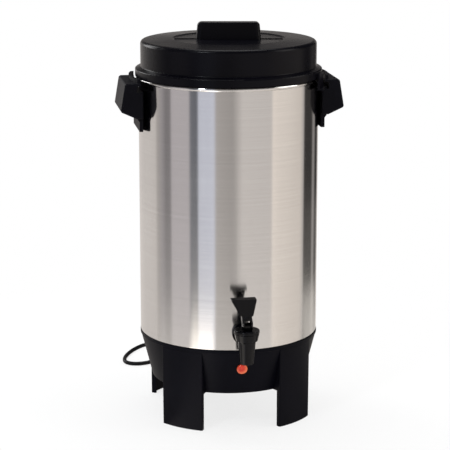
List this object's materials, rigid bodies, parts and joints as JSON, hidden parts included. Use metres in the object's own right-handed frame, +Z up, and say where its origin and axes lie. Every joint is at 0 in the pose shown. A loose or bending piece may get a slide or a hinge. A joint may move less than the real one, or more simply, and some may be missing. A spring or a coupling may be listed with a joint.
{
  "type": "coffee urn",
  "caption": "Tall percolating coffee urn: brushed metal tank on a black legged base, black side handles, domed locking lid with a bar knob, lever tap with pilot lamp, power cord.",
  "frame": {"origin": "on the tank's axis, in the plane the four feet stand on", "axes": "+Z up along the tank's axis; -Y is the front, where the tap is; the handles stand along +X and -X"},
  "size_m": [0.3092, 0.4897, 0.5523],
  "materials": {
    "tank_metal": "brushed, satin",
    "base_plastic": "fine satin",
    "handle_plastic": "fine satin",
    "lid_plastic": "fine satin",
    "tap_plastic": "polished",
    "lamp_orange": "clear, lit from behind",
    "bulb_glass": "clear",
    "spring_steel": "plain",
    "zinc_steel": "bright zinc",
    "cover_steel": "grey",
    "gasket_rubber": "matte",
    "silicone": "matte, translucent white",
    "nut_plastic": "natural",
    "pump_metal": "satin",
    "heater_metal": "cast",
    "heater_sheath": "heat stained",
    "thermostat_shell": "plain",
    "fuse_shell": "plain",
    "block_plastic": "plain",
    "wire_cover": "woven sleeve",
    "cord_rubber": "satin",
    "plug_rubber": "satin",
    "blade_brass": "plain"
  },
  "bodies": {
    "urn": {"tank": "tank_metal", "base": "base_plastic", "base_nuts": "zinc_steel", "bottom_cover": "cover_steel", "cover_screws": "zinc_steel", "lamp_lens": "lamp_orange", "lamp_bulb": "bulb_glass", "lamp_clip": "spring_steel", "handle_right": "handle_plastic", "handle_left": "handle_plastic", "handle_washers": "zinc_steel", "handle_screws": "zinc_steel", "faucet_body": "tap_plastic", "faucet_gasket_outer": "gasket_rubber", "faucet_gasket_inner": "gasket_rubber", "faucet_nut": "nut_plastic", "faucet_bonnet": "tap_plastic", "well_heater": "heater_metal", "ring_heater": "heater_sheath", "thermostat": "thermostat_shell", "thermal_fuse": "fuse_shell", "terminal_block": "block_plastic", "inner_wires": "wire_cover", "strain_relief": "cord_rubber", "cord": "cord_rubber", "plug": "plug_rubber", "plug_blades": "blade_brass"},
    "pump": {"pump_foot": "pump_metal", "pump_tube": "pump_metal"},
    "pump_valve": {"pump_valve": "pump_metal"},
    "basket": {"coffee_basket": "pump_metal"},
    "spreader": {"basket_spreader": "pump_metal"},
    "lid": {"lid": "lid_plastic"},
    "valve": {"tap_stem": "tap_plastic", "seat_cup": "silicone"},
    "lever": {"tap_lever": "tap_plastic", "lever_pin": "zinc_steel"}
  },
  "joints": [
    {"name": "pump_lift", "type": "slide", "parent": "urn", "child": "pump", "axis": [0, 0, 1], "range_m": [0, 0.4]},
    {"name": "valve_travel", "type": "slide", "parent": "pump", "child": "pump_valve", "axis": [0, 0, 1], "range_m": [0, 0.003]},
    {"name": "basket_lift", "type": "slide", "parent": "pump", "child": "basket", "axis": [0, 0, 1], "range_m": [0, 0.12]},
    {"name": "spreader_lift", "type": "slide", "parent": "basket", "child": "spreader", "axis": [0, 0, 1], "range_m": [0, 0.05]},
    {"name": "lid_lift", "type": "slide", "parent": "spreader", "child": "lid", "axis": [0, 0, 1], "range_m": [0, 0.15]},
    {"name": "valve_lift", "type": "slide", "parent": "urn", "child": "valve", "axis": [0, 0, 1], "range_m": [0, 0.004]},
    {"name": "lever_tilt", "type": "hinge", "parent": "valve", "child": "lever", "pos_m": [0, -0.157, 0.161], "axis": [1, 0, 0], "range_deg": [0, 70]}
  ],
  "couplings": [
    {"joint": "valve_lift", "follows": "lever_tilt", "m_per_rad": 0.003274}
  ]
}
